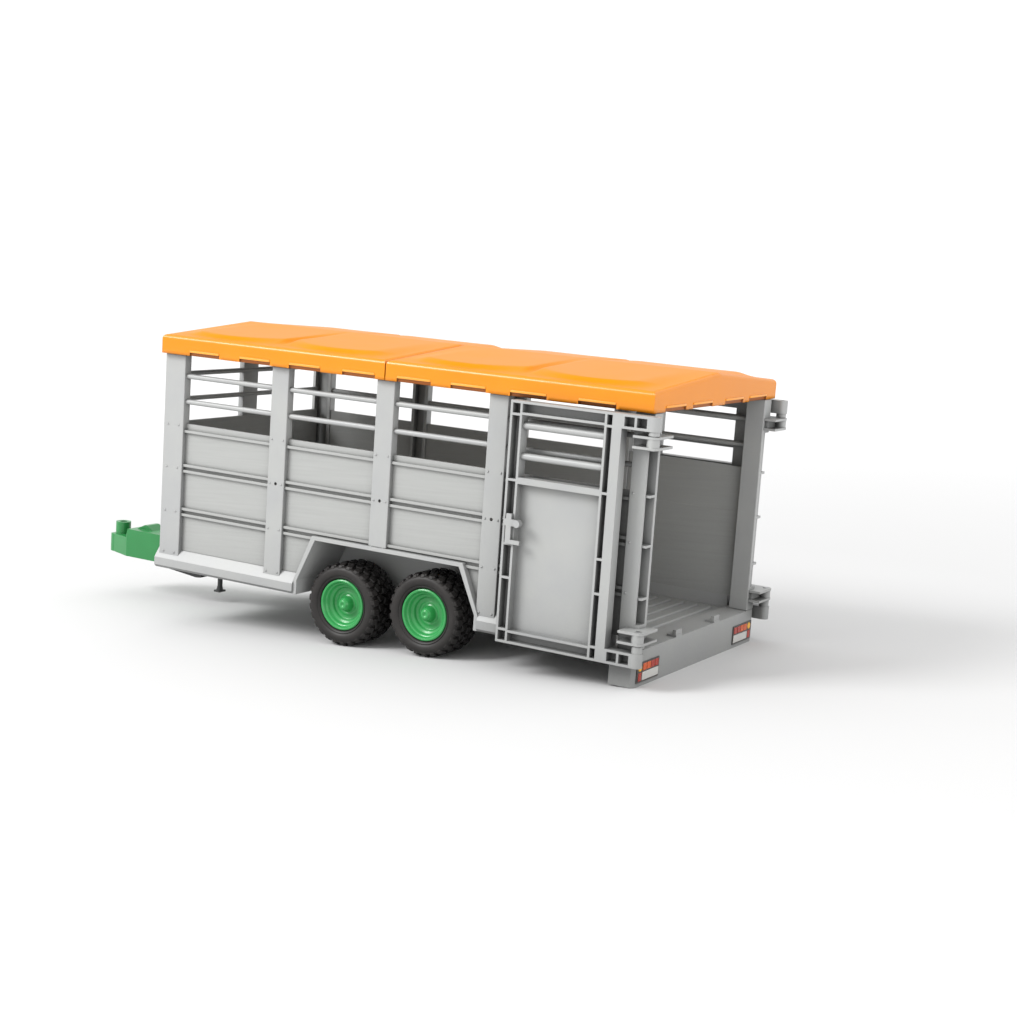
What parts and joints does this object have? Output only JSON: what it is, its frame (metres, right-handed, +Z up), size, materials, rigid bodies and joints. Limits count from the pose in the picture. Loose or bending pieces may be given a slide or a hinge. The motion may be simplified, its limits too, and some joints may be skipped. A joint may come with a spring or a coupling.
{
  "type": "toy livestock trailer",
  "caption": "Toy livestock trailer with slatted walls, a lift-off gabled roof in halves, swing-out rear doors, tandem wheels on rocking beams and a drawbar with a folding support leg.",
  "frame": {"origin": "centre of the footprint, on the ground under the wheels and the bumper's rear edge", "axes": "+X rearwards, away from the hitch; +Y to the trailer's right-hand side seen looking forwards; +Z up"},
  "size_m": [0.4717, 0.1859, 0.1921],
  "materials": {
    "body_plastic": "satin moulded",
    "roof_plastic": "semi-gloss moulded",
    "green_plastic": "satin moulded",
    "tyre_rubber": "matt",
    "lamp_plastic": "glossy printed lamps",
    "dark_plastic": "satin moulded",
    "steel": "turned"
  },
  "bodies": {
    "trailer": {"floor_pan": "body_plastic", "bumper": "body_plastic", "door_catches": "body_plastic", "front_boards": "body_plastic", "front_window_rails": "body_plastic", "front_top_rail": "body_plastic", "front_sill": "body_plastic", "rear_header": "body_plastic", "drawbar": "green_plastic", "hitch_bush": "steel", "drawbar_bolts": "steel", "drawbar_keel": "dark_plastic", "jack_pin": "steel", "left_posts": "body_plastic", "left_boards": "body_plastic", "left_window_rails": "body_plastic", "left_top_rail": "body_plastic", "left_sill": "body_plastic", "left_wheel_housing": "body_plastic", "left_corner_post": "body_plastic", "left_hinge_brackets": "body_plastic", "left_tail_light_plate": "lamp_plastic", "left_rocker_pin": "dark_plastic", "right_posts": "body_plastic", "right_boards": "body_plastic", "right_window_rails": "body_plastic", "right_top_rail": "body_plastic", "right_sill": "body_plastic", "right_wheel_housing": "body_plastic", "right_corner_post": "body_plastic", "right_hinge_brackets": "body_plastic", "right_tail_light_plate": "lamp_plastic", "right_rocker_pin": "dark_plastic"},
    "front_roof": {"front_roof": "roof_plastic"},
    "rear_roof": {"rear_roof": "roof_plastic"},
    "jack": {"jack_leg": "dark_plastic"},
    "latch": {"left_door_latch": "body_plastic"},
    "left_door": {"left_door": "body_plastic", "left_door_rails": "body_plastic", "left_hinge_pins": "steel"},
    "left_rocker": {"left_rocker": "dark_plastic", "left_stub_axles": "steel"},
    "left_front_wheel": {"left_front_tyre": "tyre_rubber", "left_front_rim": "green_plastic"},
    "left_rear_wheel": {"left_rear_tyre": "tyre_rubber", "left_rear_rim": "green_plastic"},
    "right_door": {"right_door": "body_plastic", "right_door_rails": "body_plastic", "right_hinge_pins": "steel"},
    "right_rocker": {"right_rocker": "dark_plastic", "right_stub_axles": "steel"},
    "right_front_wheel": {"right_front_tyre": "tyre_rubber", "right_front_rim": "green_plastic"},
    "right_rear_wheel": {"right_rear_tyre": "tyre_rubber", "right_rear_rim": "green_plastic"}
  },
  "joints": [
    {"name": "front_roof_lift", "type": "slide", "parent": "trailer", "child": "front_roof", "axis": [0.0655, 0, 0.9979], "range_m": [0, 0.06]},
    {"name": "rear_roof_lift", "type": "slide", "parent": "trailer", "child": "rear_roof", "axis": [0.0655, 0, 0.9979], "range_m": [0, 0.06]},
    {"name": "left_door_hinge", "type": "hinge", "parent": "trailer", "child": "left_door", "pos_m": [0.22775, -0.0876, 0.07958], "axis": [0.0655, 0, 0.9979], "range_deg": [0, 270]},
    {"name": "left_rocker_pivot", "type": "hinge", "parent": "trailer", "child": "left_rocker", "pos_m": [0.04852, -0.0468, 0.0254], "axis": [0, 1, 0], "range_deg": [-8, 8]},
    {"name": "left_front_wheel_spin", "type": "hinge", "parent": "left_rocker", "child": "left_front_wheel", "pos_m": [0.01882, -0.0635, 0.0254], "axis": [0, 1, 0], "continuous": true},
    {"name": "left_rear_wheel_spin", "type": "hinge", "parent": "left_rocker", "child": "left_rear_wheel", "pos_m": [0.07822, -0.0635, 0.0254], "axis": [0, 1, 0], "continuous": true},
    {"name": "right_door_hinge", "type": "hinge", "parent": "trailer", "child": "right_door", "pos_m": [0.22775, 0.0876, 0.07958], "axis": [-0.0655, 0, -0.9979], "range_deg": [0, 270]},
    {"name": "right_rocker_pivot", "type": "hinge", "parent": "trailer", "child": "right_rocker", "pos_m": [0.04852, 0.0468, 0.0254], "axis": [0, 1, 0], "range_deg": [-8, 8]},
    {"name": "right_front_wheel_spin", "type": "hinge", "parent": "right_rocker", "child": "right_front_wheel", "pos_m": [0.01882, 0.0635, 0.0254], "axis": [0, 1, 0], "continuous": true},
    {"name": "right_rear_wheel_spin", "type": "hinge", "parent": "right_rocker", "child": "right_rear_wheel", "pos_m": [0.07822, 0.0635, 0.0254], "axis": [0, 1, 0], "continuous": true},
    {"name": "latch_turn", "type": "hinge", "parent": "left_door", "child": "latch", "pos_m": [0.14546, -0.0876, 0.08398], "axis": [0, 1, 0], "range_deg": [0, 90]},
    {"name": "jack_fold", "type": "hinge", "parent": "trailer", "child": "jack", "pos_m": [-0.13762, 0, 0.02639], "axis": [0, -1, 0], "range_deg": [0, 90]}
  ]
}
